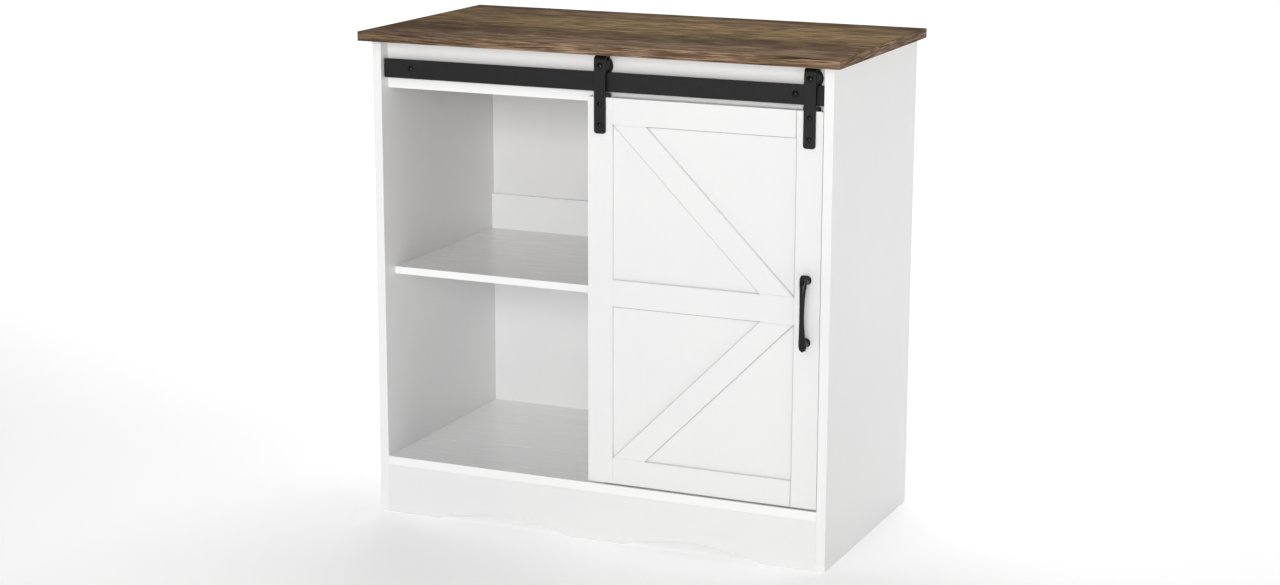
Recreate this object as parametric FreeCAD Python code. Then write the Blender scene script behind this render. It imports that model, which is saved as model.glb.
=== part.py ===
import FreeCAD, Part
import math
import os

Vector = FreeCAD.Vector

# A farmhouse sideboard: a board carcass under an overhanging wood-look top, with one barn door hung on a
# flat track by two roller hangers. Millimetres. +X right, +Y back, +Z up, seen from the front.
# The origin is on the floor, under the middle of the top.

# Carcass
TOP_W = 800.0
TOP_D = 420.0
HEIGHT = 790.0
TOP_T = 15.0
SIDE_OVERHANG = 15.0
FRONT_OVERHANG = 20.0
BOARD_T = 15.0
THIN_BOARD_T = 12.0
BACK_T = 3.0
BACK_INSET = 9.0
GROOVE_DEPTH = 5.0
BOTTOM_TOP_Z = 95.0
SHELF_TOP_Z = 405.0
HEADER_BOTTOM_Z = 698.0
HEADER_FRONT = 22.0
BACK_RAIL_H = 61.0
BACK_RAIL_PROUD = 8.0
EASE = 0.6
TOP_EASE = 0.9

# Arches in the apron
ARCH_CENTRE_X = 163.0
ARCH_HALF_W = 114.5
ARCH_RISE = 19.0

# Door
DOOR_LEFT_X = -13.0
DOOR_W = 381.0
DOOR_BOTTOM_Z = 97.0
DOOR_H = 611.0
DOOR_FRONT = 4.0
OVERLAY_T = 4.0
CORE_T = 12.0
STILE_W = 42.0
MIDDLE_RAIL_Z = (381.5, 425.5)
RAIL_JOINT_GAP = 0.7
BRACE_W = 39.5
DOOR_EASE = 0.3
RECESS_EASE = 1.2
GUIDE_GROOVE_W = 4.0
GUIDE_GROOVE_H = 10.0

# Track and hangers
TRACK_H = 30.0
TRACK_T = 5.0
TRACK_BOTTOM_Z = 716.0
TRACK_END_GAP = 1.0
TRACK_SCREW_X = 322.0
SPACER_R = 6.0
TRACK_EASE = 0.8
STRAP_W = 19.0
STRAP_T = 3.0
STRAP_INNER_GAP = 13.0
STRAP_BOTTOM_Z = 652.0
STRAP_TOP_Z = 771.0
STRAP_BEND_R = 7.0
STRAP_CORNER_R = 4.5
STRAP_LOBE_R = 14.5
STRAP_EASE = 0.5
STRAP_SCREW_Z = (697.0, 665.0)

# Rollers
ROLLER_W = 10.0
ROLLER_FLANGE_R = 11.5
ROLLER_TREAD_R = 8.7
ROLLER_TRACK_GAP = 0.3
ROLLER_GROOVE_W = 6.0
ROLLER_MOUTH_W = 7.4
ROLLER_EASE = 0.6
AXLE_R = 3.0
AXLE_CLEARANCE = 0.05
WASHER_R = 6.5
WASHER_T = 1.3
AXLE_HEAD_R = 5.6
AXLE_HEAD_H = 2.5

# Anti-jump pads
PAD_L = 27.0
PAD_W = 13.0
PAD_T = 5.0
PAD_SET_BACK = 1.5
PAD_END_R = 6.1
PAD_RIM_R = 0.8

# Door guide
GUIDE_BASE = (24.0, 16.0, 1.2)
GUIDE_FIN_T = 3.0
GUIDE_FIN_TOP = 10.0
GUIDE_SCREW_OFFSET = (7.0, 4.9)

# Handle. Each station is its distance from the middle, then the bar's half width, how far its front is set
# back from the foremost point, and its half depth.
HANDLE_CENTRES = 96.0
HANDLE_PROJECTION = 24.0
HANDLE_RISE = 3.0
HANDLE_STATIONS = (
    (0.0, 3.8, 0.0, 3.1), (18.0, 4.1, 0.4, 3.3), (34.0, 4.9, 1.6, 3.7),
    (46.0, 6.0, 3.2, 4.2), (54.0, 5.7, 4.6, 3.9), (57.8, 3.9, 5.4, 2.8), (59.0, 1.5, 5.8, 1.1),
)
HANDLE_FOOT_R = 7.0
HANDLE_FOOT_H = 5.0
HANDLE_POST_R = 4.8
HANDLE_POST_H = 16.0
HANDLE_SCREW_HOLD = 8.0

# Cross recess as shares of the size asked for, and a screw's point as shares of its shank radius
CROSS_LENGTH = 1.1
CROSS_WIDTH = 0.26
CROSS_DEPTH = 0.5
CROSS_IN_DOMED_HEAD = 0.85
CROSS_IN_FLUSH_HEAD = 0.8
POINT_H = 1.6
POINT_R = 0.2

# Screws with domed heads: head radius, head height, shank radius, length
TRACK_SCREW = (5.2, 2.6, 2.0, 24.0)
HANGER_SCREW = (4.4, 2.2, 2.0, 17.0)
HANDLE_SCREW = (4.0, 1.6, 1.95, OVERLAY_T + CORE_T + HANDLE_SCREW_HOLD)

# Flush screws: head radius, shank radius, length
DIVIDER_SCREW = (5.0, 2.5, 50.0)
GUIDE_SCREW = (2.4, 1.3, 12.0)
PAD_SCREW = (2.8, 1.5, 12.0)

# Fittings
CAM_REACH = 34.0
CAM_PIN_R = 3.0
CAM_THREAD_R = 2.5
CAM_THREAD_LENGTH = 9.0
CAM_FLOOR = 2.5
CAM_SLOT = 0.9
DOWEL_R = 4.0
DOWEL_SHORT_END = 9.0
DOWEL_LONG_END = 21.0
SHELF_PIN_R = 3.0
SHELF_PIN_L = 55.0
FORE_CAM_SET_BACK = 60.0
FORE_FITTING_SET_BACK = 75.0
REAR_FITTING_SET_BACK = 330.0
FORE_DOWEL_STEP = 40.0
REAR_DOWEL_STEP = -28.0
BOTTOM_DOWEL_STEP = -35.0
DIVIDER_SCREW_STEP = 30.0
HEADER_CAM_Z = 752.0
HEADER_DOWEL_Z = 712.0
HEADER_JOINT_Z = 745.0
APRON_CAM_Z = 55.0
APRON_DOWEL_Z = 25.0
APRON_DOWEL_X = (-210.0, 0.0, 210.0)

# Derived positions
FRONT = FRONT_OVERHANG - TOP_D / 2
BACK = TOP_D / 2
SLAB_UNDER_Z = HEIGHT - TOP_T
SIDE_X = TOP_W / 2 - SIDE_OVERHANG
INNER_X = SIDE_X - BOARD_T
BACK_Y = BACK - BACK_INSET - BACK_T
HEADER_Y = FRONT + HEADER_FRONT
INTERIOR_Y = HEADER_Y + THIN_BOARD_T
DIVIDER_X = BOARD_T / 2
APRON_TOP_Z = BOTTOM_TOP_Z - BOARD_T
RAIL_Y = BACK_Y - BACK_RAIL_PROUD
RAIL_TOP_Z = SHELF_TOP_Z + BACK_RAIL_H
SHELF_MID_Z = SHELF_TOP_Z - THIN_BOARD_T / 2
DOOR_RIGHT_X = DOOR_LEFT_X + DOOR_W
DOOR_TOP_Z = DOOR_BOTTOM_Z + DOOR_H
DOOR_MID_Z = DOOR_BOTTOM_Z + DOOR_H / 2
DOOR_Y = FRONT + DOOR_FRONT
CORE_Y = DOOR_Y + OVERLAY_T
DOOR_BACK_Y = CORE_Y + CORE_T
GUIDE_Y = CORE_Y + CORE_T / 2
LEFT_STRAP_X = DOOR_LEFT_X + STILE_W / 2
RIGHT_STRAP_X = DOOR_RIGHT_X - STILE_W / 2
STRAP_Y = DOOR_Y - STRAP_T
REAR_LEG_Y = DOOR_Y + STRAP_INNER_GAP
ROLLER_Y = DOOR_Y + STRAP_INNER_GAP / 2
TRACK_TOP_Z = TRACK_BOTTOM_Z + TRACK_H
TRACK_MID_Z = TRACK_BOTTOM_Z + TRACK_H / 2
TRACK_Y = ROLLER_Y - TRACK_T / 2
AXLE_Z = TRACK_TOP_Z + ROLLER_TRACK_GAP + ROLLER_TREAD_R
HANDLE_MID_Z = DOOR_MID_Z + HANDLE_RISE
FORE_CAM_Y = FRONT + FORE_CAM_SET_BACK
FORE_FITTING_Y = FRONT + FORE_FITTING_SET_BACK
REAR_FITTING_Y = FRONT + REAR_FITTING_SET_BACK

# Slack for picking edges by place, and how far a cutter runs past the face it opens
NEAR = 0.1
PAST = 1.0

RIGHT = Vector(1, 0, 0)
BACKWARD = Vector(0, 1, 0)
FORWARD = Vector(0, -1, 0)
UP = Vector(0, 0, 1)
DOWN = Vector(0, 0, -1)

nodes = {}
cam_locks = []
cam_pins = []
dowels = []


def box(x0, x1, y0, y1, z0, z1):
    """A plain box between two corners."""
    return Part.makeBox(x1 - x0, y1 - y0, z1 - z0, Vector(x0, y0, z0))


def board(x0, x1, y0, y1, z0, z1, ease=EASE):
    """A board whose twelve edges are slightly rounded, as edge-banded board is."""
    plain = box(x0, x1, y0, y1, z0, z1)
    return plain.makeFillet(ease, plain.Edges)


def rod(start, direction, length, radius):
    """A cylinder from start along direction."""
    return Part.makeCylinder(radius, length, start, direction)


def prism(points, y0, depth):
    """The outline through (x, z) points in the plane y = y0, extruded backwards."""
    corners = [Vector(x, y0, z) for x, z in points]
    outline = Part.makePolygon(corners + corners[:1])
    return Part.Face(outline).extrude(Vector(0, depth, 0))


def group(solids):
    """Separate solids kept together in one node."""
    return Part.makeCompound(solids)


def cut_node(name, tools):
    """Bores the named node for the given solids."""
    nodes[name] = nodes[name].cut(Part.makeCompound(tools))


def domed_head(at, direction, radius, height):
    """A low domed screw head that rises from at along direction."""
    ball_r = (radius ** 2 + height ** 2) / (2 * height)
    ball = Part.makeSphere(ball_r, at + direction * (height - ball_r))
    return ball.common(rod(at, direction, 2 * height, 2 * radius))


def cross_recess(at, direction, size):
    """The cutter for a cross recess, centred on the head's outer face."""
    length = size * CROSS_LENGTH
    width = size * CROSS_WIDTH
    depth = size * CROSS_DEPTH
    bars = []
    for angle in (0, 90):
        bar = Part.makeBox(length, width, depth, Vector(-length / 2, -width / 2, -depth))
        bar.rotate(Vector(0, 0, 0), UP, angle)
        bar.Placement = FreeCAD.Placement(at, FreeCAD.Rotation(UP, direction)).multiply(bar.Placement)
        bars.append(bar)
    return bars[0].fuse(bars[1])


def cross_head(at, out, radius, height):
    """A domed head with its cross recess, standing on the surface at `at` and facing out."""
    recess = cross_recess(at + out * height, out, radius * CROSS_IN_DOMED_HEAD)
    return domed_head(at, out, radius, height).cut(recess)


def domed_screw(at, out, head_r, head_h, shank_r, length):
    """A pointed cross-head screw whose head stands on the surface at `at` and faces out."""
    point_h = shank_r * POINT_H
    point_r = shank_r * POINT_R
    shank = rod(at, out * -1, length - point_h, shank_r)
    tip = Part.makeCone(shank_r, point_r, point_h, at - out * (length - point_h), out * -1)
    return cross_head(at, out, head_r, head_h).fuse([shank, tip]).removeSplitter()


def flush_screw(at, out, head_r, shank_r, length):
    """A countersunk cross-head screw level with the surface at `at`, and the plain cutter for its hole."""
    sink = head_r - shank_r
    head = Part.makeCone(head_r, shank_r, sink, at, out * -1)
    shank = rod(at - out * sink, out * -1, length - sink, shank_r)
    hole = head.fuse(shank).removeSplitter()
    return hole.cut(cross_recess(at, out, head_r * CROSS_IN_FLUSH_HEAD)), hole


def cam_joint(host, mate, at, into_host, cam_out, host_t):
    """A cam lock in the host board drawing on a pin in the mate; `at` is mid-board on the joint face."""
    cam_r = host_t / 2
    centre = at + into_host * CAM_REACH
    mouth = centre + cam_out * (host_t / 2)
    thread = rod(at, into_host * -1, CAM_THREAD_LENGTH, CAM_THREAD_R)
    shank = rod(at, into_host, CAM_REACH, CAM_PIN_R)
    pin = shank.fuse(thread)
    barrel = rod(mouth, cam_out * -1, host_t - CAM_FLOOR, cam_r)
    slot = cross_recess(mouth, cam_out, cam_r * CAM_SLOT)
    cam_locks.append(barrel.cut(pin).cut(slot))
    cam_pins.append(pin)
    cut_node(host, [shank, barrel])
    cut_node(mate, [thread])


def dowel_joint(host, mate, at, into_host, radius=DOWEL_R, short=DOWEL_SHORT_END, long=DOWEL_LONG_END):
    """A glued wooden dowel across a joint face."""
    dowel = rod(at - into_host * short, into_host, short + long, radius)
    dowels.append(dowel)
    cut_node(host, [dowel])
    cut_node(mate, [dowel])


def make_carcass():
    """The boards of the cabinet, each one a rectangle before it is bored."""
    half_w = TOP_W / 2
    nodes["top_panel"] = board(-half_w, half_w, BACK - TOP_D, BACK, SLAB_UNDER_Z, HEIGHT, TOP_EASE)
    nodes["left_side_panel"] = board(-SIDE_X, -INNER_X, FRONT, BACK, 0, SLAB_UNDER_Z)
    nodes["right_side_panel"] = board(INNER_X, SIDE_X, FRONT, BACK, 0, SLAB_UNDER_Z)
    nodes["bottom_panel"] = board(-INNER_X, INNER_X, FRONT, BACK, APRON_TOP_Z, BOTTOM_TOP_Z)
    nodes["header_rail"] = board(
        -INNER_X, INNER_X, HEADER_Y, INTERIOR_Y, HEADER_BOTTOM_Z, SLAB_UNDER_Z
    )
    nodes["centre_divider"] = board(
        -DIVIDER_X, DIVIDER_X, INTERIOR_Y, BACK_Y, BOTTOM_TOP_Z, SLAB_UNDER_Z
    )
    shelf_bottom_z = SHELF_TOP_Z - THIN_BOARD_T
    nodes["left_shelf"] = board(-INNER_X, -DIVIDER_X, INTERIOR_Y, BACK_Y, shelf_bottom_z, SHELF_TOP_Z)
    nodes["right_shelf"] = board(DIVIDER_X, INNER_X, INTERIOR_Y, BACK_Y, shelf_bottom_z, SHELF_TOP_Z)
    nodes["back_rail"] = board(-INNER_X, INNER_X, RAIL_Y, RAIL_Y + BOARD_T, SHELF_TOP_Z, RAIL_TOP_Z)


def make_apron():
    """The board under the front of the cabinet, with two arches cut from its lower edge."""
    apron = board(-INNER_X, INNER_X, FRONT, FRONT + BOARD_T, 0, APRON_TOP_Z)
    arch_r = (ARCH_HALF_W ** 2 + ARCH_RISE ** 2) / (2 * ARCH_RISE)
    for x in (-ARCH_CENTRE_X, ARCH_CENTRE_X):
        centre = Vector(x, FRONT - PAST, ARCH_RISE - arch_r)
        apron = apron.cut(rod(centre, BACKWARD, BOARD_T + 2 * PAST, arch_r))
    nodes["apron"] = apron


def make_back():
    """Two thin back panels that slide in grooves in the sides, the bottom and the back rail."""
    reach = INNER_X + GROOVE_DEPTH
    rear = BACK_Y + BACK_T
    nodes["lower_back_panel"] = box(
        -reach, reach, BACK_Y, rear, BOTTOM_TOP_Z - GROOVE_DEPTH, SHELF_TOP_Z + GROOVE_DEPTH
    )
    nodes["upper_back_panel"] = box(
        -reach, reach, BACK_Y, rear, RAIL_TOP_Z - GROOVE_DEPTH, SLAB_UNDER_Z
    )
    panels = [nodes["lower_back_panel"], nodes["upper_back_panel"]]
    side_groove = box(-reach, reach, BACK_Y, rear, BOTTOM_TOP_Z - GROOVE_DEPTH, SLAB_UNDER_Z)
    cut_node("left_side_panel", [side_groove])
    cut_node("right_side_panel", [side_groove])
    cut_node("bottom_panel", panels)
    cut_node("back_rail", panels)
    cut_node("centre_divider", [box(-DIVIDER_X, DIVIDER_X, RAIL_Y, BACK_Y, SHELF_TOP_Z, RAIL_TOP_Z)])


def join_boards_at_side(side_name, shelf_name, sign):
    """Cam locks and dowels that hold one side panel to the boards that meet it."""
    inward = Vector(-sign, 0, 0)
    for y, dowel_step in ((FORE_CAM_Y, FORE_DOWEL_STEP), (REAR_FITTING_Y, REAR_DOWEL_STEP)):
        at = Vector(sign * (SIDE_X - BOARD_T / 2), y, SLAB_UNDER_Z)
        cam_joint(side_name, "top_panel", at, DOWN, inward, BOARD_T)
        dowel_joint(side_name, "top_panel", at + Vector(0, dowel_step, 0), DOWN)
    for y in (FORE_FITTING_Y, REAR_FITTING_Y):
        base = Vector(sign * INNER_X, y, BOTTOM_TOP_Z - BOARD_T / 2)
        cam_joint("bottom_panel", side_name, base, inward, DOWN, BOARD_T)
        dowel_joint("bottom_panel", side_name, base + Vector(0, BOTTOM_DOWEL_STEP, 0), inward)
        shelf = Vector(sign * INNER_X, y, SHELF_MID_Z)
        cam_joint(shelf_name, side_name, shelf, inward, DOWN, THIN_BOARD_T)
    header = Vector(sign * INNER_X, HEADER_Y + THIN_BOARD_T / 2, 0)
    cam_joint("header_rail", side_name, header + UP * HEADER_CAM_Z, inward, BACKWARD, THIN_BOARD_T)
    dowel_joint("header_rail", side_name, header + UP * HEADER_DOWEL_Z, inward)
    apron = Vector(sign * INNER_X, FRONT + BOARD_T / 2, 0)
    cam_joint("apron", side_name, apron + UP * APRON_CAM_Z, inward, BACKWARD, BOARD_T)
    dowel_joint("apron", side_name, apron + UP * APRON_DOWEL_Z, inward)
    rail_mid = Vector(sign * INNER_X, RAIL_Y + BOARD_T / 2, (SHELF_TOP_Z + RAIL_TOP_Z) / 2)
    cam_joint("back_rail", side_name, rail_mid, inward, BACKWARD, BOARD_T)


def join_boards():
    """Every hidden fitting between the carcass boards."""
    join_boards_at_side("left_side_panel", "left_shelf", -1)
    join_boards_at_side("right_side_panel", "right_shelf", 1)
    for y in (FORE_FITTING_Y, REAR_FITTING_Y):
        cam_joint("centre_divider", "top_panel", Vector(0, y, SLAB_UNDER_Z), DOWN, RIGHT, BOARD_T)
        pin = rod(Vector(-SHELF_PIN_L / 2, y, SHELF_MID_Z), RIGHT, SHELF_PIN_L, SHELF_PIN_R)
        dowels.append(pin)
        for name in ("left_shelf", "right_shelf", "centre_divider"):
            cut_node(name, [pin])
    dowel_joint("centre_divider", "header_rail", Vector(0, INTERIOR_Y, HEADER_JOINT_Z), BACKWARD)
    for x in APRON_DOWEL_X:
        dowel_joint("apron", "bottom_panel", Vector(x, FRONT + BOARD_T / 2, APRON_TOP_Z), DOWN)
    divider_fixings = [
        flush_screw(Vector(0, y, APRON_TOP_Z), DOWN, *DIVIDER_SCREW)
        for y in (FORE_FITTING_Y + DIVIDER_SCREW_STEP, REAR_FITTING_Y - DIVIDER_SCREW_STEP)
    ]
    holes = [hole for screw, hole in divider_fixings]
    cut_node("bottom_panel", holes)
    cut_node("centre_divider", holes)
    nodes["divider_screws"] = group([screw for screw, hole in divider_fixings])
    nodes["cam_locks"] = group(cam_locks)
    nodes["cam_pins"] = group(cam_pins)
    nodes["wood_dowels"] = group(dowels)


def make_track():
    """The flat track, held off the header by spacers, with three screws."""
    end_x = INNER_X - TRACK_END_GAP
    bar = board(-end_x, end_x, TRACK_Y, TRACK_Y + TRACK_T, TRACK_BOTTOM_Z, TRACK_TOP_Z, TRACK_EASE)
    spacers = []
    screws = []
    for x in (-TRACK_SCREW_X, 0.0, TRACK_SCREW_X):
        rear = Vector(x, TRACK_Y + TRACK_T, TRACK_MID_Z)
        spacers.append(rod(rear, BACKWARD, HEADER_Y - rear.y, SPACER_R))
        screws.append(domed_screw(Vector(x, TRACK_Y, TRACK_MID_Z), FORWARD, *TRACK_SCREW))
    holes = group(screws)
    nodes["track_bar"] = bar.cut(holes)
    nodes["track_spacers"] = group([s.cut(holes) for s in spacers])
    nodes["track_screws"] = holes
    cut_node("header_rail", screws)


def make_door_guide():
    """A fin on the bottom panel that runs in a groove along the door's lower edge."""
    base_w, base_d, base_t = GUIDE_BASE
    base_z = BOTTOM_TOP_Z + base_t
    fin_z = BOTTOM_TOP_Z + GUIDE_FIN_TOP
    fin_y = GUIDE_Y - GUIDE_FIN_T / 2
    base = box(-base_w / 2, base_w / 2, GUIDE_Y - base_d / 2, GUIDE_Y + base_d / 2, BOTTOM_TOP_Z, base_z)
    fin = box(-base_w / 2, base_w / 2, fin_y, fin_y + GUIDE_FIN_T, base_z, fin_z)
    fin = fin.makeFillet(GUIDE_FIN_T / 3, [e for e in fin.Edges if e.BoundBox.ZMin > fin_z - NEAR])
    across, along = GUIDE_SCREW_OFFSET
    fixings = [
        flush_screw(Vector(sign * across, GUIDE_Y + sign * along, base_z), UP, *GUIDE_SCREW)
        for sign in (-1, 1)
    ]
    holes = [hole for screw, hole in fixings]
    nodes["door_guide"] = base.fuse(fin).removeSplitter().cut(group(holes))
    nodes["door_guide_screws"] = group([screw for screw, hole in fixings])
    cut_node("bottom_panel", holes)


def brace_offset(width, height, thickness):
    """How far along the rail a brace of that thickness reaches when it fills a recess corner to corner."""
    a = height ** 2 - thickness ** 2
    b = 2 * thickness ** 2 * width
    c = -(thickness ** 2) * (width ** 2 + height ** 2)
    return (-b + math.sqrt(b ** 2 - 4 * a * c)) / (2 * a)


def grown_triangle(points, margin, y):
    """A triangle's corners in the plane at y, with each side moved outwards by the margin."""
    corners = [Vector(x, y, z) for x, z in points]
    sides = [(corners[i - 1] - corners[i - 2]).Length for i in range(3)]
    around = sum(sides)
    centre = sum((corner * side for corner, side in zip(corners, sides)), Vector(0, 0, 0)) * (1 / around)
    area = (corners[1] - corners[0]).cross(corners[2] - corners[0]).Length / 2
    growth = 1 + margin * around / (2 * area)
    return [centre + (corner - centre) * growth for corner in corners]


def flat_face(corners):
    """The flat face through those corners."""
    return Part.Face(Part.makePolygon(corners + corners[:1]))


def recess_cutter(points):
    """The cutter that bevels the front edges around a triangular recess in the door's face."""
    front = grown_triangle(points, RECESS_EASE + NEAR, DOOR_Y - NEAR)
    rear = grown_triangle(points, -NEAR, DOOR_Y + RECESS_EASE + NEAR)
    sides = [flat_face([front[i - 1], front[i], rear[i], rear[i - 1]]) for i in range(3)]
    return Part.Solid(Part.Shell([flat_face(front), flat_face(rear), *sides]))


def make_door_boards():
    """The door's core panel and the frame and braces laid on its face."""
    core = board(DOOR_LEFT_X, DOOR_RIGHT_X, CORE_Y, DOOR_BACK_Y, DOOR_BOTTOM_Z, DOOR_TOP_Z)
    groove_y = GUIDE_Y - GUIDE_GROOVE_W / 2
    groove = box(
        DOOR_LEFT_X - PAST, DOOR_RIGHT_X + PAST,
        groove_y, groove_y + GUIDE_GROOVE_W,
        DOOR_BOTTOM_Z - PAST, DOOR_BOTTOM_Z + GUIDE_GROOVE_H,
    )
    nodes["door_panel"] = core.cut(groove)
    x0 = DOOR_LEFT_X + STILE_W
    x1 = DOOR_RIGHT_X - STILE_W
    stiles = {"left_stile": (DOOR_LEFT_X, x0), "right_stile": (x1, DOOR_RIGHT_X)}
    for name, (left, right) in stiles.items():
        nodes[name] = board(left, right, DOOR_Y, CORE_Y, DOOR_BOTTOM_Z, DOOR_TOP_Z, DOOR_EASE)
    upper = (DOOR_TOP_Z - STILE_W, MIDDLE_RAIL_Z[1])
    lower = (DOOR_BOTTOM_Z + STILE_W, MIDDLE_RAIL_Z[0])
    rails = {
        "door_bottom_rail": (x1 - RAIL_JOINT_GAP, DOOR_BOTTOM_Z, lower[0]),
        "door_middle_rail": (x1, *MIDDLE_RAIL_Z),
        "door_top_rail": (x1 - RAIL_JOINT_GAP, upper[0], DOOR_TOP_Z),
    }
    for name, (right, low, high) in rails.items():
        nodes[name] = board(x0, right, DOOR_Y, CORE_Y, low, high, DOOR_EASE)
    cutters = []
    for name, (near_z, far_z) in {"upper_brace": upper, "lower_brace": lower}.items():
        step = brace_offset(x1 - x0, abs(near_z - far_z), BRACE_W)
        outline = [(x0, near_z), (x0 + step, near_z), (x1, far_z), (x1 - step, far_z)]
        blank = prism(outline, DOOR_Y, OVERLAY_T)
        front_edges = [e for e in blank.Edges if e.BoundBox.YMax < DOOR_Y + NEAR]
        nodes[name] = blank.makeFillet(DOOR_EASE, front_edges)
        cutters.append(recess_cutter([(x0, near_z), (x1 - step, far_z), (x0, far_z)]))
        cutters.append(recess_cutter([(x0 + step, near_z), (x1, near_z), (x1, far_z)]))
    for name in [*stiles, *rails, "upper_brace", "lower_brace"]:
        cut_node(name, cutters)


def upper_cross_edges(block):
    """The block's top edges that run along X."""
    top_z = block.BoundBox.ZMax
    return [e for e in block.Edges if e.BoundBox.ZMin > top_z - NEAR and e.BoundBox.XLength > 1]


def make_strap(x):
    """A flat strap bent over the track: a long leg on the door and a short rear leg that ends in a lobe."""
    outer_y = REAR_LEG_Y + STRAP_T
    left = x - STRAP_W / 2
    right = x + STRAP_W / 2
    outside = box(left, right, STRAP_Y, outer_y, AXLE_Z, STRAP_TOP_Z)
    outside = outside.makeFillet(STRAP_BEND_R, upper_cross_edges(outside))
    inside = box(left - PAST, right + PAST, DOOR_Y, REAR_LEG_Y, STRAP_BOTTOM_Z, STRAP_TOP_Z - STRAP_T)
    inside = inside.makeFillet(STRAP_BEND_R - STRAP_T, upper_cross_edges(inside))
    leg = box(left, right, STRAP_Y, DOOR_Y, STRAP_BOTTOM_Z, AXLE_Z)
    corners = [e for e in leg.Edges if e.BoundBox.ZMax < STRAP_BOTTOM_Z + NEAR and e.BoundBox.YLength > 1]
    leg = leg.makeFillet(STRAP_CORNER_R, corners)
    lobe = rod(Vector(x, REAR_LEG_Y, AXLE_Z), BACKWARD, STRAP_T, STRAP_LOBE_R)
    strap = outside.cut(inside).fuse([leg, lobe]).removeSplitter()
    front_edges = [e for e in strap.Edges if e.BoundBox.YMax < STRAP_Y + NEAR]
    return strap.makeFillet(STRAP_EASE, front_edges)


def make_roller(x):
    """A grooved wheel whose tread rides on the track's top edge and whose flanges straddle it."""
    half = ROLLER_W / 2
    floor_half = ROLLER_GROOVE_W / 2
    mouth_half = ROLLER_MOUTH_W / 2
    bore_r = AXLE_R + AXLE_CLEARANCE
    ease = ROLLER_EASE
    profile = [
        (bore_r, -half), (ROLLER_FLANGE_R - ease, -half), (ROLLER_FLANGE_R, -half + ease),
        (ROLLER_FLANGE_R, -mouth_half), (ROLLER_TREAD_R, -floor_half), (ROLLER_TREAD_R, floor_half),
        (ROLLER_FLANGE_R, mouth_half), (ROLLER_FLANGE_R, half - ease), (ROLLER_FLANGE_R - ease, half),
        (bore_r, half),
    ]
    corners = [Vector(x + r, ROLLER_Y + y, AXLE_Z) for r, y in profile]
    face = Part.Face(Part.makePolygon(corners + corners[:1]))
    return face.revolve(Vector(x, ROLLER_Y, AXLE_Z), BACKWARD, 360)


def make_hangers():
    """The two hangers, their rollers, axles, washers and screws."""
    straps = {"left_hanger": LEFT_STRAP_X, "right_hanger": RIGHT_STRAP_X}
    rollers = {"left_roller": LEFT_STRAP_X, "right_roller": RIGHT_STRAP_X}
    screws = []
    axles = []
    washers = []
    for x in straps.values():
        for z in STRAP_SCREW_Z:
            screws.append(domed_screw(Vector(x, STRAP_Y, z), FORWARD, *HANGER_SCREW))
        front = Vector(x, STRAP_Y, AXLE_Z)
        shaft = rod(front, BACKWARD, REAR_LEG_Y + STRAP_T - STRAP_Y, AXLE_R)
        axles.append(cross_head(front, FORWARD, AXLE_HEAD_R, AXLE_HEAD_H).fuse(shaft))
        for y in (DOOR_Y, REAR_LEG_Y - WASHER_T):
            washer = rod(Vector(x, y, AXLE_Z), BACKWARD, WASHER_T, WASHER_R)
            washers.append(washer.cut(rod(Vector(x, y, AXLE_Z), BACKWARD, WASHER_T, AXLE_R)))
    for name, x in straps.items():
        nodes[name] = make_strap(x).cut(group(screws + axles))
    for name, x in rollers.items():
        nodes[name] = make_roller(x)
    for name in ("left_stile", "right_stile", "door_panel"):
        cut_node(name, screws)
    nodes["hanger_screws"] = group(screws)
    nodes["roller_axles"] = group(axles)
    nodes["roller_washers"] = group(washers)


def make_anti_jump_pads():
    """A rounded block behind each strap that stops the door from jumping off the track."""
    pad_y = DOOR_Y + PAD_SET_BACK
    pad_top = DOOR_TOP_Z + PAD_T
    pads = []
    fixings = []
    for x in (LEFT_STRAP_X, RIGHT_STRAP_X):
        pad = box(x - PAD_L / 2, x + PAD_L / 2, pad_y, pad_y + PAD_W, DOOR_TOP_Z, pad_top)
        ends = [e for e in pad.Edges if e.BoundBox.ZLength > 1]
        pad = pad.makeFillet(PAD_END_R, ends)
        rim = [e for e in pad.Edges if e.BoundBox.ZMin > pad_top - NEAR]
        pads.append(pad.makeFillet(PAD_RIM_R, rim))
        fixings.append(flush_screw(Vector(x, pad_y + PAD_W / 2, pad_top), UP, *PAD_SCREW))
    holes = [hole for screw, hole in fixings]
    nodes["anti_jump_pads"] = group([pad.cut(group(holes)) for pad in pads])
    nodes["anti_jump_screws"] = group([screw for screw, hole in fixings])
    cut_node("door_panel", holes)


def handle_section(step, half_width, set_back, half_depth):
    """One level elliptical section of the handle's bar, that step above its middle."""
    ellipse = Part.Ellipse(Vector(0, 0, 0), half_width, half_depth)
    wire = Part.Wire(ellipse.toShape())
    y = DOOR_Y - HANDLE_PROJECTION + set_back + half_depth
    wire.translate(Vector(RIGHT_STRAP_X, y, HANDLE_MID_Z + step))
    return wire


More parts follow.
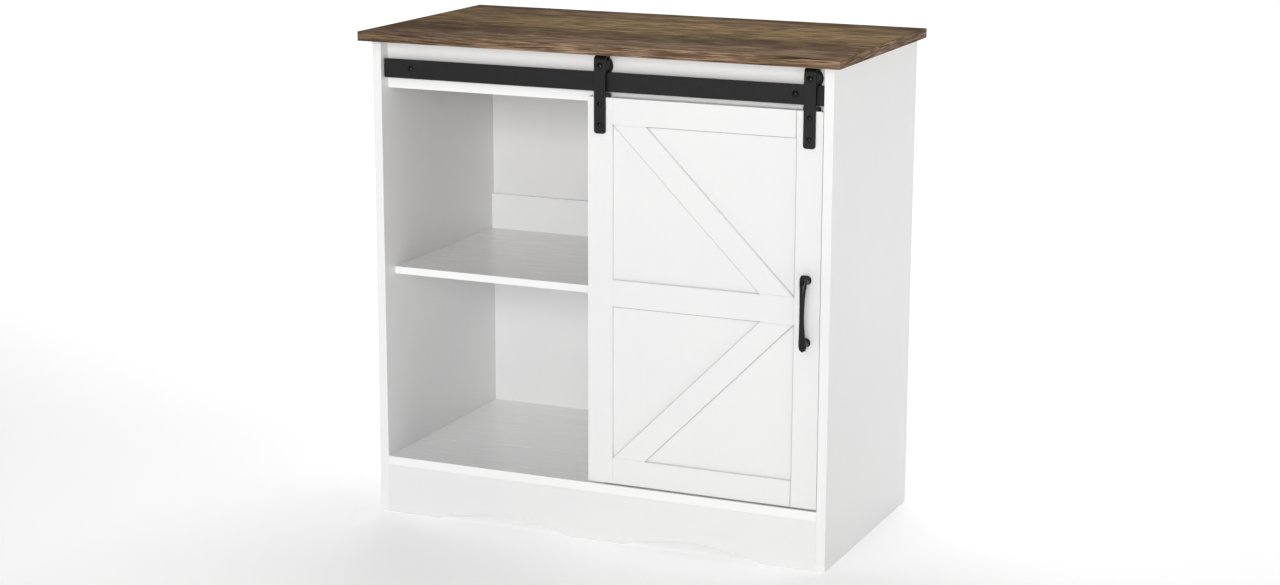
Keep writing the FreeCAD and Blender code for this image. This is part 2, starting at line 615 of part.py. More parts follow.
def make_handle():
    """The bow handle on the right stile: a waisted bar on two posts, screwed from behind."""
    lower = [handle_section(-step, *sizes) for step, *sizes in HANDLE_STATIONS[:0:-1]]
    upper = [handle_section(step, *sizes) for step, *sizes in HANDLE_STATIONS]
    bar = Part.makeLoft(lower + upper, True, False)
    posts = []
    screws = []
    for z in (HANDLE_MID_Z - HANDLE_CENTRES / 2, HANDLE_MID_Z + HANDLE_CENTRES / 2):
        foot = Vector(RIGHT_STRAP_X, DOOR_Y, z)
        posts.append(Part.makeCone(HANDLE_FOOT_R, HANDLE_POST_R, HANDLE_FOOT_H, foot, FORWARD))
        posts.append(rod(foot, FORWARD, HANDLE_POST_H, HANDLE_POST_R))
        head_r, head_h, shank_r, length = HANDLE_SCREW
        rear = Vector(RIGHT_STRAP_X, DOOR_BACK_Y, z)
        screws.append(cross_head(rear, BACKWARD, head_r, head_h).fuse(rod(rear, FORWARD, length, shank_r)))
    nodes["handle"] = bar.fuse(posts).removeSplitter().cut(group(screws))
    nodes["handle_screws"] = group(screws)
    cut_node("right_stile", screws)
    cut_node("door_panel", screws)


def export():
    """Writes one STEP file for each node."""
    os.makedirs("parts", exist_ok=True)
    for name, shape in nodes.items():
        if not shape.isValid():
            print("not valid:", name)
        shape.exportStep(os.path.join("parts", name + ".step"))


make_carcass()
make_apron()
make_back()
make_track()
join_boards()
make_door_guide()
make_door_boards()
make_hangers()
make_anti_jump_pads()
make_handle()
export()
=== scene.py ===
import math

import bmesh
import bpy
from mathutils import Matrix, Vector


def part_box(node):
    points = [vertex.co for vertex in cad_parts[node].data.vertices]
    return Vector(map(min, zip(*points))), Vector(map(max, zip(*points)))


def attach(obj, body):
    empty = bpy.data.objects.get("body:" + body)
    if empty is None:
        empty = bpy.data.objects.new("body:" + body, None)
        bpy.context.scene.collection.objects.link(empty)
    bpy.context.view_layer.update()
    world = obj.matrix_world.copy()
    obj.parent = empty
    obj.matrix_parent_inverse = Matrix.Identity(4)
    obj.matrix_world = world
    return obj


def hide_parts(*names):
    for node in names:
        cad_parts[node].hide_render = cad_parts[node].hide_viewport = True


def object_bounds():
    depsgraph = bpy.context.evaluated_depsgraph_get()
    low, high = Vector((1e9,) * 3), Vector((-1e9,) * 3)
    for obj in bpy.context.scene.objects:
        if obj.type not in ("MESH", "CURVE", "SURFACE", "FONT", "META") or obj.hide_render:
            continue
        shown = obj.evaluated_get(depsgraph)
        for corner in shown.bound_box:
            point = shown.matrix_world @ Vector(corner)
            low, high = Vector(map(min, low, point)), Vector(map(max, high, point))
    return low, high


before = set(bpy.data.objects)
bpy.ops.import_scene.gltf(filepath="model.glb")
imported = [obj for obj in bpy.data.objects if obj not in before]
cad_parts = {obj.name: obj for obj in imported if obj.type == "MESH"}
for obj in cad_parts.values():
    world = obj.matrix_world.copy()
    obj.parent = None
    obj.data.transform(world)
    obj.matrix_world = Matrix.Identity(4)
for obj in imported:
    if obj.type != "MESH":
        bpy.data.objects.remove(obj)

cad_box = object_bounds()
MM = 0.001

# Places taken from the frame
TOP_LOW, TOP_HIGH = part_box("top_panel")
HANDLE_LOW, HANDLE_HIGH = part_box("handle")
DOOR_FACE_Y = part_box("right_stile")[0].y

# Top: edge-band thickness, and the rounding of the edges of the slab and of the bands
BAND_T = 0.9 * MM
SLAB_EASE = 0.4 * MM
BAND_EASE = 0.35 * MM
EASE_STEPS = 3

# Handle. A station of the bar gives the share of its half length, then its half width, the set-back
# of its front and its half depth. A post's station gives the distance from the door and the radius.
HANDLE_CENTRES = 96 * MM
HANDLE_BAR = [
    (0.00, 3.8 * MM, 0.0 * MM, 3.1 * MM),
    (0.30, 4.1 * MM, 0.4 * MM, 3.3 * MM),
    (0.58, 4.9 * MM, 1.6 * MM, 3.7 * MM),
    (0.78, 6.1 * MM, 3.2 * MM, 4.2 * MM),
    (0.90, 6.0 * MM, 4.4 * MM, 4.1 * MM),
    (0.96, 4.7 * MM, 5.2 * MM, 3.3 * MM),
    (1.00, 1.6 * MM, 6.4 * MM, 1.2 * MM),
]
HANDLE_POST = [
    (0.0 * MM, 7.3 * MM),
    (1.2 * MM, 7.3 * MM),
    (2.2 * MM, 6.8 * MM),
    (4.0 * MM, 5.6 * MM),
    (7.0 * MM, 4.8 * MM),
    (12.0 * MM, 4.8 * MM),
    (16.0 * MM, 5.2 * MM),
]

# Dished spot near each end of the bar: distance from the middle, width, length and depth
HANDLE_DISH_AT = 50 * MM
HANDLE_DISH_W = 7.6 * MM
HANDLE_DISH_L = 14 * MM
HANDLE_DISH_DEPTH = 1.0 * MM

# Handle's fineness: rings along the bar, the share of its half length where the rings end, points
# around a ring, and how it is melted into one casting
BAR_RINGS = 120
BAR_TIP = 0.9999
RING_POINTS = 40
CAST_VOXEL = 0.5 * MM
CAST_SMOOTHING = 0.5
CAST_SMOOTHING_PASSES = 5

# White boards: grain cells per metre across and along the board, and of the broad unevenness
BOARD_GRAIN_ACROSS = 520.0
BOARD_GRAIN_ALONG = 9.0
BOARD_UNEVEN = (3.0, 3.0, 3.0)

# Painted shade in the bevels around the door's recesses: grey put into their colour where shadow falls
# along the recess edges. BEVEL_FACING is how squarely a face looks forward where the boards' flat faces
# end and the bevels begin. Then how much its turn down and to the left counts, the range of that turn,
# and how thickly the painted shade lies at the two ends of the range.
PAINTED_SHADE_GREY = (0.16, 0.158, 0.155)
BEVEL_FACING = (0.95, 0.80)
PAINTED_SHADE_DOWN = 0.8
PAINTED_SHADE_LEFT = 0.45
PAINTED_SHADE_TURN = (-0.55, 0.5)
PAINTED_SHADE_MOST = 0.64
PAINTED_SHADE_LEAST = 0.10

# Oak print: linear tones. OAK_SHADE darkens the top towards its left end, more and more from one place
# along X to the other.
OAK_DARK = (0.066, 0.035, 0.016)
OAK_CRACK = (0.020, 0.010, 0.005)
OAK_PALE = (0.560, 0.390, 0.205)
OAK_BAND = (0.270, 0.180, 0.124)
OAK_SHADE = (0.74, 0.74, 0.76)
OAK_SHADE_FROM_X = -0.05
OAK_SHADE_TO_X = -0.34

# The planks' tones from the top's front edge to its back: share of the depth, tone
OAK_ROWS = [
    (0.00, (0.300, 0.192, 0.126)),
    (0.17, (0.275, 0.172, 0.104)),
    (0.20, (0.128, 0.067, 0.033)),
    (0.38, (0.160, 0.088, 0.042)),
    (0.41, (0.330, 0.213, 0.090)),
    (0.60, (0.410, 0.272, 0.118)),
    (0.74, (0.395, 0.262, 0.116)),
    (0.76, (0.275, 0.172, 0.084)),
    (0.90, (0.290, 0.182, 0.090)),
    (0.93, (0.095, 0.050, 0.025)),
]

# The planks' edges wander sideways: cells per metre along and across, and the width of the wandering
OAK_WANDER_CELLS = (1.6, 6.0)
OAK_WANDER = 0.045

# The print's marks, broad to fine: cells per metre along and across the grain, shift of the pattern
# along and across, then the noise's detail, roughness and distortion. The broad ones are finer on the
# edge bands.
OAK_MARKS = {
    "patch": ((2.6, 7.0), (9.0, 0.0), (3.0, 0.6, 0.6)),
    "streak": ((2.6, 30.0), (3.1, 0.0), (4.0, 0.62, 0.7)),
    "thread": ((20.0, 150.0), (2.0, 6.0), (3.0, 0.6, 0.3)),
    "fibre": ((11.0, 420.0), (0.0, 7.0), (5.0, 0.68, 0.2)),
    "crack": ((4.0, 90.0), (5.0, 2.0), (6.0, 0.6, 0.9)),
    "pore": ((70.0, 1100.0), (1.0, 4.0), (2.0, 0.5, 0.0)),
}
BROAD_MARKS = ("patch", "streak", "thread")
BAND_FINENESS = 3.0

# What the marks do to the tone, one after the other: mark, range of its noise, the colour's share at
# the two ends of that range, colour
CRACK_RANGE = (0.59, 0.66)
OAK_TINTS = [
    ("patch", (0.48, 0.70), (0.00, 0.45), OAK_DARK),
    ("streak", (0.48, 0.68), (0.00, 0.42), OAK_DARK),
    ("streak", (0.50, 0.30), (0.00, 0.22), OAK_PALE),
    ("thread", (0.38, 0.54), (0.75, 0.00), OAK_DARK),
    ("thread", (0.52, 0.66), (0.00, 0.50), OAK_PALE),
    ("fibre", (0.38, 0.58), (0.72, 0.00), OAK_DARK),
    ("fibre", (0.52, 0.70), (0.00, 0.45), OAK_PALE),
    ("crack", CRACK_RANGE, (0.00, 0.75), OAK_CRACK),
    ("pore", (0.58, 0.72), (0.00, 0.40), OAK_CRACK),
]

# How far the fibres stand up and the cracks sink, as shares of the print's whole relief
FIBRE_RISE = 0.7
CRACK_SINK = 0.6

# Floor: half size, gap under the cabinet, and its glow, which rises towards the back between two
# places along Y, and far out all round between two distances from the cabinet
FLOOR_HALF = 16.0
FLOOR_GAP = 0.5 * MM
FLOOR_DIM_Y = -0.3
FLOOR_BRIGHT_Y = 3.0
FLOOR_RIM_START = 3.6
FLOOR_RIM_END = 7.5
FLOOR_GLOW_NEAR = 0.30
FLOOR_GLOW_FAR = 0.95

# Surroundings: how strongly they light the scene, and how bright they look past the floor's far edge
SURROUND_LIGHT = 0.15
SURROUND_SEEN = 1.0

# Soft boxes: name, place, width and height, power. All of them are aimed at the cabinet's middle.
SOFT_BOXES = [
    ("front_box", (1.8, -8.2, 2.3), (4.0, 3.0), 340),
    ("right_box", (4.2, -0.3, 1.0), (2.0, 2.0), 26),
    ("top_box", (-0.4, 1.6, 3.2), (2.4, 2.0), 58),
    ("upper_front_box", (-0.3, -3.0, 3.4), (2.4, 1.6), 20),
]
LIGHT_TARGET = Vector((0, 0, 0.4))

# Camera: a long lens in front, to the right and above, rolled by a fraction of a degree
CAMERA_AT = Vector((1.5873, -3.654, 1.2695))
CAMERA_FORWARD = Vector((-0.38975, 0.89383, -0.22172))
CAMERA_ROLL = math.radians(0.185)
LENS_MM = 70.95
SENSOR_MM = 36.0
CLIP_NEAR = 0.05
CLIP_FAR = 100


# ---------------------------------------------------------------- materials

class Nodes:
    """A small helper for building one material's node tree."""

    def __init__(self, name):
        self.material = bpy.data.materials.new(name)
        self.material.use_nodes = True
        self.tree = self.material.node_tree
        self.shader = self.tree.nodes["Principled BSDF"]
        self.coords = self.add("ShaderNodeTexCoord").outputs["Object"]

    def add(self, kind):
        return self.tree.nodes.new(kind)

    def link(self, source, target):
        """Connects an output to an input, or sets the input to a plain value."""
        if isinstance(source, bpy.types.NodeSocket):
            self.tree.links.new(source, target)
        else:
            target.default_value = source

    def scaled(self, scale, offset=(0, 0, 0), source=None):
        """Coordinates stretched by a scale: the object's own, unless a source is given."""
        node = self.add("ShaderNodeMapping")
        self.link(source or self.coords, node.inputs["Vector"])
        node.inputs["Scale"].default_value = scale
        node.inputs["Location"].default_value = offset
        return node.outputs["Vector"]

    def noise(self, vector, scale, detail=4.0, roughness=0.55, distortion=0.0):
        node = self.add("ShaderNodeTexNoise")
        self.link(vector, node.inputs["Vector"])
        node.inputs["Scale"].default_value = scale
        node.inputs["Detail"].default_value = detail
        node.inputs["Roughness"].default_value = roughness
        node.inputs["Distortion"].default_value = distortion
        return node.outputs["Fac"]

    def math(self, operation, a, b=0.0, c=0.0):
        node = self.add("ShaderNodeMath")
        node.operation = operation
        for value, socket in zip((a, b, c), node.inputs):
            self.link(value, socket)
        return node.outputs["Value"]

    def ramp(self, value, stops):
        """A colour ramp; each stop is (position, colour)."""
        node = self.add("ShaderNodeValToRGB")
        elements = node.color_ramp.elements
        while len(elements) < len(stops):
            elements.new(0.5)
        for element, (position, colour) in zip(elements, stops):
            element.position = position
            element.color = (*colour, 1.0)
        self.link(value, node.inputs["Fac"])
        return node.outputs["Color"]

    def level(self, value, low, high, to_low=0.0, to_high=1.0):
        """A value eased from one range to another, and held at the second range's ends."""
        node = self.add("ShaderNodeMapRange")
        node.interpolation_type = "SMOOTHSTEP"
        self.link(value, node.inputs["Value"])
        node.inputs["From Min"].default_value = low
        node.inputs["From Max"].default_value = high
        node.inputs["To Min"].default_value = to_low
        node.inputs["To Max"].default_value = to_high
        return node.outputs["Result"]

    def mix(self, factor, a, b, blend="MIX"):
        """Two colours blended; each is an output or three linear numbers."""
        node = self.add("ShaderNodeMix")
        node.data_type = "RGBA"
        node.blend_type = blend
        self.link(factor, node.inputs["Factor"])
        for value, socket in ((a, node.inputs["A"]), (b, node.inputs["B"])):
            if isinstance(value, tuple):
                value = (*value, 1.0)
            self.link(value, socket)
        return node.outputs["Result"]

    def split(self, vector):
        node = self.add("ShaderNodeSeparateXYZ")
        self.link(vector, node.inputs["Vector"])
        return node.outputs

    def join(self, x, y, z):
        node = self.add("ShaderNodeCombineXYZ")
        for value, socket in zip((x, y, z), node.inputs):
            self.link(value, socket)
        return node.outputs["Vector"]

    def normal(self):
        return self.add("ShaderNodeNewGeometry").outputs["Normal"]

    def bump(self, height, strength, distance):
        """A normal for relief whose full height is the distance, in metres."""
        node = self.add("ShaderNodeBump")
        node.inputs["Strength"].default_value = strength
        node.inputs["Distance"].default_value = distance
        self.link(height, node.inputs["Height"])
        return node.outputs["Normal"]

    def finish(self, color, roughness, normal=None, **fixed):
        """Sets the shader's inputs, plain ones by name with _ for a space, and gives the material."""
        self.link(color, self.shader.inputs["Base Color"])
        self.link(roughness, self.shader.inputs["Roughness"])
        if normal:
            self.link(normal, self.shader.inputs["Normal"])
        for name, value in fixed.items():
            self.shader.inputs[name.replace("_", " ")].default_value = value
        return self.material


def grey(value):
    return (value, value, value)


def oak_material(name, along, rows=None):
    """Rustic oak print with its grain along one axis; rows gives the tones of its planks across Y."""
    n = Nodes(name)
    x, y, z = n.split(n.coords)
    length, across = (x, y) if along == "x" else (y, x)
    sideways = n.math("ADD", across, z)
    wander_along, wander_across = OAK_WANDER_CELLS
    cells_x = n.math("MULTIPLY", length, wander_along)
    cells_y = n.math("MULTIPLY", sideways, wander_across)
    wander = n.noise(n.join(cells_x, cells_y, 0.0), 1.0, detail=2.0)
    row = n.math("MULTIPLY_ADD", wander, OAK_WANDER, n.math("SUBTRACT", sideways, OAK_WANDER / 2))
    grain = n.join(length, row, 0.0)

    marks = {}
    for mark, ((cells_along, cells_across), shift, texture) in OAK_MARKS.items():
        if mark in BROAD_MARKS and not rows:
            cells_across *= BAND_FINENESS
        stretched = n.scaled((cells_along, cells_across, 1.0), (*shift, 0), grain)
        marks[mark] = n.noise(stretched, 1.0, *texture)

    if rows:
        from_front = n.math("SUBTRACT", row, TOP_LOW.y + TOP_HIGH.z)
        tone = n.ramp(n.math("DIVIDE", from_front, TOP_HIGH.y - TOP_LOW.y), rows)
    else:
        tone = OAK_BAND
    for mark, noise_range, share, colour in OAK_TINTS:
        tone = n.mix(n.level(marks[mark], *noise_range, *share), tone, colour)
    if along == "x":
        tone = n.mix(n.level(x, OAK_SHADE_FROM_X, OAK_SHADE_TO_X), tone, OAK_SHADE, "MULTIPLY")

    sunk = n.level(marks["crack"], *CRACK_RANGE, 0.0, CRACK_SINK)
    height = n.math("SUBTRACT", n.math("MULTIPLY", marks["fibre"], FIBRE_RISE), sunk)
    normal = n.bump(height, strength=0.4, distance=0.4 * MM)
    roughness = n.level(marks["fibre"], 0.3, 0.7, 0.8, 0.62)
    return n.finish(tone, roughness, normal, Specular_IOR_Level=0.08)


def white_board_material(name, along, tint, relief=0.5, paint_bevel_shade=False, rough=0.30):
    """White melamine with a fine pressed grain along one axis. The flag paints shade into its bevels as
    grey, most where they face down or left, where shadow falls."""
    n = Nodes(name)
    stretch = [BOARD_GRAIN_ACROSS] * 3
    stretch["xyz".index(along)] = BOARD_GRAIN_ALONG
    pressed = n.noise(n.scaled(stretch), 1.0, detail=4.0, roughness=0.6, distortion=0.15)
    broad = n.noise(n.scaled(BOARD_UNEVEN), 1.0, detail=3.0)
    warmer = (tint * 1.008, tint * 1.006, tint)
    tone = n.mix(n.level(broad, 0.3, 0.7), grey(tint * 0.985), warmer)
    tone = n.mix(n.level(pressed, 0.35, 0.7, 0.0, 0.12), tone, grey(tint * 0.93))
    # Painted shade: grey mixed into the bevels, most where they turn down or left, standing in for
    # shadow
    if paint_bevel_shade:
        facing = n.split(n.normal())
        bevel = n.level(n.math("ABSOLUTE", facing["Y"]), *BEVEL_FACING)
        sideways = n.math("MULTIPLY", facing["X"], PAINTED_SHADE_LEFT)
        turned = n.math("MULTIPLY_ADD", facing["Z"], PAINTED_SHADE_DOWN, sideways)
        painted_bevel_shade = n.math("MULTIPLY", bevel, n.level(turned, *PAINTED_SHADE_TURN, PAINTED_SHADE_MOST, PAINTED_SHADE_LEAST))
        tone = n.mix(painted_bevel_shade, tone, PAINTED_SHADE_GREY)
    roughness = n.level(pressed, 0.3, 0.7, rough, rough + 0.12)
    normal = n.bump(pressed, strength=relief, distance=0.12 * MM)
    return n.finish(tone, roughness, normal, Specular_IOR_Level=0.5)


def coat_material(name, color, rough, grain=2600.0, relief=0.35):
    """Powder coat or satin lacquer on steel: fine orange peel and uneven gloss."""
    n = Nodes(name)
    peel = n.noise(n.coords, grain, detail=3.0, roughness=0.6)
    patch = n.noise(n.coords, 38.0, detail=3.0)
    tone = n.mix(n.level(patch, 0.3, 0.75), color, tuple(c * 1.5 for c in color))
    tone = n.mix(n.level(peel, 0.55, 0.8, 0.0, 0.35), tone, tuple(c * 2.4 for c in color))
    roughness = n.level(patch, 0.25, 0.75, rough - 0.05, rough + 0.08)
    normal = n.bump(peel, strength=relief, distance=0.08 * MM)
    return n.finish(tone, roughness, normal, Specular_IOR_Level=0.32)


def metal_material(name, color, rough):
    """Bare zinc plate: cloudy, with fine scratches."""
    n = Nodes(name)
    cloud = n.noise(n.coords, 160.0, detail=4.0)
    scratch = n.noise(n.scaled((1800.0, 140.0, 1800.0)), 1.0, detail=3.0)
    tone = n.mix(n.level(cloud, 0.3, 0.7), color, tuple(c * 0.8 for c in color))
    roughness = n.level(scratch, 0.3, 0.7, rough - 0.08, rough + 0.12)
    return n.finish(tone, roughness, n.bump(scratch, strength=0.2, distance=0.05 * MM), Metallic=1.0)


def moulded_material(name, color, rough):
    """Moulded nylon: faint flow marks and a fine spark-eroded grain."""
    n = Nodes(name)
    grain = n.noise(n.coords, 3200.0, detail=2.0)
    flow = n.noise(n.coords, 90.0, detail=2.0, roughness=0.5, distortion=1.0)
    tone = n.mix(n.level(flow, 0.35, 0.7), color, tuple(min(1.0, c * 1.18) for c in color))
    roughness = n.level(flow, 0.3, 0.7, rough - 0.05, rough + 0.07)
    return n.finish(tone, roughness, n.bump(grain, strength=0.25, distance=0.06 * MM))


def plain_wood_material(name, color):
    """Turned beech: short flecks along the grain."""
    n = Nodes(name)
    fleck = n.noise(n.scaled((70.0, 900.0, 900.0)), 1.0, detail=3.0)
    tone = n.mix(n.level(fleck, 0.4, 0.7), color, tuple(c * 0.6 for c in color))
    normal = n.bump(fleck, strength=0.3, distance=0.1 * MM)
    return n.finish(tone, n.level(fleck, 0.3, 0.7, 0.6, 0.75), normal)


oak = oak_material("oak_print", "x", OAK_ROWS)
oak_band_x = oak_material("oak_band_along_x", "x")
oak_band_y = oak_material("oak_band_along_y", "y")
# The white boards are one white in the real cabinet. Their tints differ as painted light: the level
# boards lighter, for light that doesn't reach them inside, and the door and apron darker, against the
# strong light on their fronts.
white_upright = white_board_material("white_board_upright", "z", 0.88)
white_level = white_board_material("white_board_level", "x", 0.935, relief=0.3, rough=0.16)
white_apron = white_board_material("white_apron_board", "x", 0.84)
white_door = white_board_material("white_door_board", "z", 0.85)
# The stiles' and rails' bevels get painted shade
white_stile = white_board_material("white_door_stile", "z", 0.85, paint_bevel_shade=True)
white_door_rail = white_board_material("white_door_rail", "x", 0.85, paint_bevel_shade=True)
back_board = white_board_material("white_back_board", "z", 0.885, relief=0.25)
black_steel = coat_material("black_powder_coat", (0.0060, 0.0060, 0.0063), 0.5)
black_fastener = coat_material("black_oxide", (0.0016, 0.0016, 0.0018), 0.24, 3800.0, 0.2)
black_lacquer = coat_material("black_satin_lacquer", (0.0022, 0.0022, 0.0025), 0.27, 1800.0, 0.12)
black_nylon = moulded_material("black_nylon", (0.014, 0.014, 0.0145), 0.5)
natural_nylon = moulded_material("natural_nylon", (0.62, 0.6, 0.55), 0.45)
zinc = metal_material("zinc_plate", (0.62, 0.63, 0.65), 0.34)
beech = plain_wood_material("beech", (0.52, 0.36, 0.21))

CAD_MATERIALS = {
    white_upright: ["left_side_panel", "right_side_panel", "centre_divider"],
    white_apron: ["apron"],
    white_level: ["bottom_panel", "header_rail", "left_shelf", "right_shelf", "back_rail"],
    back_board: ["upper_back_panel", "lower_back_panel"],
    white_door: ["door_panel"],
    white_stile: ["left_stile", "right_stile"],
    white_door_rail: [
        "door_top_rail", "door_middle_rail", "door_bottom_rail", "upper_brace", "lower_brace",
    ],
    black_steel: ["track_bar", "track_spacers", "left_hanger", "right_hanger"],
    black_fastener: [
        "track_screws", "hanger_screws", "roller_axles", "roller_washers", "anti_jump_screws",
    ],
    black_nylon: ["left_roller", "right_roller", "anti_jump_pads"],
    natural_nylon: ["door_guide"],
    zinc: ["cam_locks", "cam_pins", "divider_screws", "door_guide_screws", "handle_screws"],
    beech: ["wood_dowels"],
}


def dress_cad_nodes():
    """Gives every carried-over CAD node its material."""
    for material, names in CAD_MATERIALS.items():
        for name in names:
            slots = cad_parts[name].data.materials
            slots.clear()
            slots.append(material)


# ---------------------------------------------------------------- detailed pieces

def new_piece(name, bm, materials, body, replaced):
    """Turns a bmesh into a smooth-shaded object that rides on a body in place of a CAD node."""
    mesh = bpy.data.meshes.new(name)
    bm.to_mesh(mesh)
    bm.free()
    for material in materials:
        mesh.materials.append(material)
    mesh.shade_smooth()
    piece = bpy.data.objects.new(name, mesh)
    bpy.context.scene.collection.objects.link(piece)
    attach(piece, body)
    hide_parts(replaced)


def add_block(bm, low, high, ease, material=0):
    """A box with rounded edges between two corners."""
    low, high = Vector(low), Vector(high)
    made = bmesh.ops.create_cube(bm, size=1.0)["verts"]
    bmesh.ops.scale(bm, vec=high - low, verts=made)
    bmesh.ops.translate(bm, vec=(low + high) / 2, verts=made)
    edges = list({edge for vert in made for edge in vert.link_edges})
    result = bmesh.ops.bevel(
        bm, geom=edges, offset=ease, segments=EASE_STEPS, profile=0.5, affect="EDGES"
    )
    faces = set(result["faces"]) | {face for vert in result["verts"] for face in vert.link_faces}
    for face in faces:
        face.material_index = material


def make_top():
    """The slab with its four edge bands, each a thin strip with its own rounded edges."""
    bm = bmesh.new()
    band = BAND_T
    low, high = TOP_LOW, TOP_HIGH
    slab_low = (low.x + band, low.y + band, low.z)
    slab_high = (high.x - band, high.y - band, high.z)
    add_block(bm, slab_low, slab_high, SLAB_EASE)
    for y in (low.y, high.y - band):
        add_block(bm, (low.x, y, low.z), (high.x, y + band, high.z), BAND_EASE, 1)
    for x in (low.x, high.x - band):
        add_block(bm, (x, low.y + band, low.z), (x + band, high.y - band, high.z), BAND_EASE, 2)
    new_piece("top_slab", bm, [oak, oak_band_x, oak_band_y], "cabinet", "top_panel")


def smooth_between(stations, at):
    """The values between stations (position, value, value...), eased with Catmull-Rom curves."""
    for i in range(len(stations) - 1):
        if at <= stations[i + 1][0]:
            break
    before = stations[max(i - 1, 0)]
    after = stations[min(i + 2, len(stations) - 1)]
    start, end = stations[i], stations[i + 1]
    t = (at - start[0]) / (end[0] - start[0])
    values = []
    for p0, p1, p2, p3 in zip(before[1:], start[1:], end[1:], after[1:]):
        bend = 2 * p1 + (p2 - p0) * t + (2 * p0 - 5 * p1 + 4 * p2 - p3) * t * t
        values.append((bend + (3 * p1 - p0 - 3 * p2 + p3) * t ** 3) / 2)
    return values


def add_tube(bm, rings):
    """A tube through rings of points, closed at both ends."""
    loops = [[bm.verts.new(point) for point in ring] for ring in rings]
    count = len(loops[0])
    for one, two in zip(loops, loops[1:]):
        for i in range(count):
            j = (i + 1) % count
            bm.faces.new((one[i], one[j], two[j], two[i]))
    bm.faces.new(list(reversed(loops[0])))
    bm.faces.new(loops[-1])


def ring_turns():
    """The angles of the points around a ring."""
    return [2 * math.pi * i / RING_POINTS for i in range(RING_POINTS)]


def bar_ring(middle, half, z):
    """The bar's outline at a height above its middle, dished on its front near the bar's ends."""
    width, back, depth = smooth_between(HANDLE_BAR, min(abs(z) / half, BAR_TIP))
    ring = []
    for turn in ring_turns():
        x, y = width * math.cos(turn), -depth * math.sin(turn)
        spot = (x / (HANDLE_DISH_W / 2)) ** 2 + ((abs(z) - HANDLE_DISH_AT) / (HANDLE_DISH_L / 2)) ** 2
        dish = HANDLE_DISH_DEPTH * max(0.0, 1 - spot) if y < 0 else 0.0
        ring.append((middle.x + x, HANDLE_LOW.y + back + depth + y + dish, middle.z + z))
    return ring


def post_ring(middle, side, reach, radius):
    """A post's outline at a distance from the door; side is -1 for the lower post, 1 for the upper."""
    ring = []
    for turn in ring_turns():
        x, z = radius * math.cos(turn), radius * math.sin(turn)
        ring.append((middle.x + x, DOOR_FACE_Y - reach, middle.z + side * HANDLE_CENTRES / 2 + z))
    return ring


def melted(bm):
    """One smooth skin around closed forms that run into each other."""
    rough = bpy.data.meshes.new("handle_rough")
    bm.to_mesh(rough)
    bm.free()
    blank = bpy.data.objects.new("handle_blank", rough)
    bpy.context.scene.collection.objects.link(blank)
    melt = blank.modifiers.new("melt", "REMESH")
    melt.mode = "VOXEL"
    melt.voxel_size = CAST_VOXEL
    soften = blank.modifiers.new("soften", "SMOOTH")
    soften.factor = CAST_SMOOTHING
    soften.iterations = CAST_SMOOTHING_PASSES
    graph = bpy.context.evaluated_depsgraph_get()
    cast = bpy.data.meshes.new_from_object(blank.evaluated_get(graph))
    bpy.data.objects.remove(blank)
    skin = bmesh.new()
    skin.from_mesh(cast)
    bpy.data.meshes.remove(cast)
    bpy.data.meshes.remove(rough)
    return skin


def make_handle():
    """The cast bow handle: a waisted bar with dished spoon ends, melted into two flared posts."""
    middle = (HANDLE_LOW + HANDLE_HIGH) / 2
    half = (HANDLE_HIGH.z - HANDLE_LOW.z) / 2
    bm = bmesh.new()
    heights = [-half * math.cos(math.pi * k / BAR_RINGS) for k in range(BAR_RINGS + 1)]
    add_tube(bm, [bar_ring(middle, half, z) for z in heights])
    for side in (-1, 1):
        add_tube(bm, [post_ring(middle, side, reach, radius) for reach, radius in HANDLE_POST])
    bmesh.ops.recalc_face_normals(bm, faces=bm.faces)
    new_piece("bow_handle", melted(bm), [black_lacquer], "door", "handle")


# ---------------------------------------------------------------- floor, light, camera

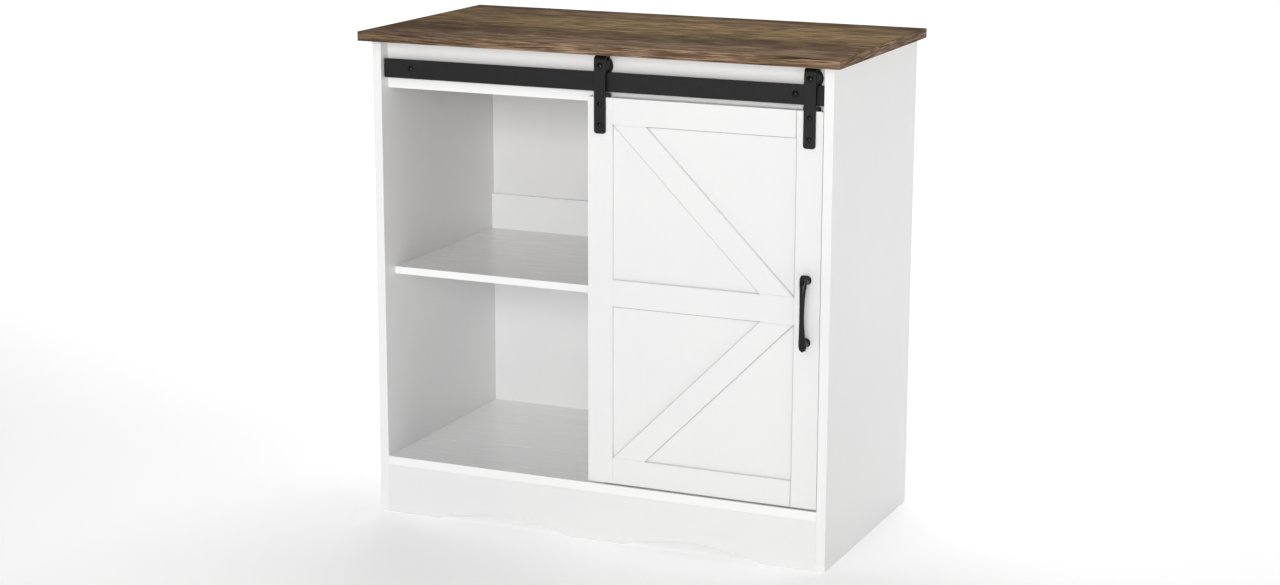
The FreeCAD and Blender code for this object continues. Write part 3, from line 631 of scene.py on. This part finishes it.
def make_floor():
    """A pale floor that runs past the view and glows more behind the cabinet and far out."""
    mesh = bpy.data.meshes.new("floor")
    bm = bmesh.new()
    bmesh.ops.create_grid(bm, x_segments=1, y_segments=1, size=FLOOR_HALF)
    bm.to_mesh(mesh)
    bm.free()
    floor = bpy.data.objects.new("floor", mesh)
    floor.location.z = cad_box[0].z - FLOOR_GAP
    bpy.context.scene.collection.objects.link(floor)
    n = Nodes("floor_paper")
    speck = n.noise(n.coords, 30.0, detail=2.0)
    tone = n.mix(speck, grey(0.91), grey(0.93))
    x, y, _ = n.split(n.coords)
    behind = n.level(y, FLOOR_DIM_Y, FLOOR_BRIGHT_Y, FLOOR_GLOW_NEAR, FLOOR_GLOW_FAR)
    squares = n.math("ADD", n.math("MULTIPLY", x, x), n.math("MULTIPLY", y, y))
    reach = n.math("SQRT", squares)
    around = n.level(reach, FLOOR_RIM_START, FLOOR_RIM_END, FLOOR_GLOW_NEAR, FLOOR_GLOW_FAR)
    glow = n.math("MAXIMUM", behind, around)
    n.link(glow, n.shader.inputs["Emission Strength"])
    floor.data.materials.append(n.finish(tone, 0.9, Emission_Color=(1, 1, 1, 1)))


def soft_light(name, at, size, power):
    """A rectangular soft box aimed at the cabinet's middle."""
    data = bpy.data.lights.new(name, "AREA")
    data.shape = "RECTANGLE"
    data.size, data.size_y = size
    data.energy = power
    lamp = bpy.data.objects.new(name, data)
    lamp.location = at
    lamp.rotation_euler = (LIGHT_TARGET - Vector(at)).to_track_quat("-Z", "Y").to_euler()
    bpy.context.scene.collection.objects.link(lamp)


def make_light():
    """White surroundings that look brighter to the camera than they light, and the soft boxes."""
    world = bpy.data.worlds.new("surround")
    world.use_nodes = True
    tree = world.node_tree
    seen = tree.nodes.new("ShaderNodeLightPath").outputs["Is Camera Ray"]
    strength = tree.nodes.new("ShaderNodeMapRange")
    strength.inputs["To Min"].default_value = SURROUND_LIGHT
    strength.inputs["To Max"].default_value = SURROUND_SEEN
    tree.links.new(seen, strength.inputs["Value"])
    tree.links.new(strength.outputs["Result"], tree.nodes["Background"].inputs["Strength"])
    tree.nodes["Background"].inputs["Color"].default_value = (1, 1, 1, 1)
    bpy.context.scene.world = world
    for name, at, size, power in SOFT_BOXES:
        soft_light(name, at, size, power)


def make_camera():
    """The camera in front, to the right and above, without lens shift."""
    data = bpy.data.cameras.new("camera")
    data.lens = LENS_MM
    data.sensor_width = SENSOR_MM
    data.clip_start, data.clip_end = CLIP_NEAR, CLIP_FAR
    camera = bpy.data.objects.new("camera", data)
    forward = CAMERA_FORWARD.normalized()
    turn = forward.to_track_quat("-Z", "Y")
    camera.rotation_mode = "QUATERNION"
    camera.rotation_quaternion = turn @ Matrix.Rotation(CAMERA_ROLL, 3, "Z").to_quaternion()
    camera.location = CAMERA_AT
    bpy.context.scene.collection.objects.link(camera)
    bpy.context.scene.camera = camera


dress_cad_nodes()
make_top()
make_handle()
make_floor()
make_light()
make_camera()
bpy.context.scene.view_settings.view_transform = "Standard"
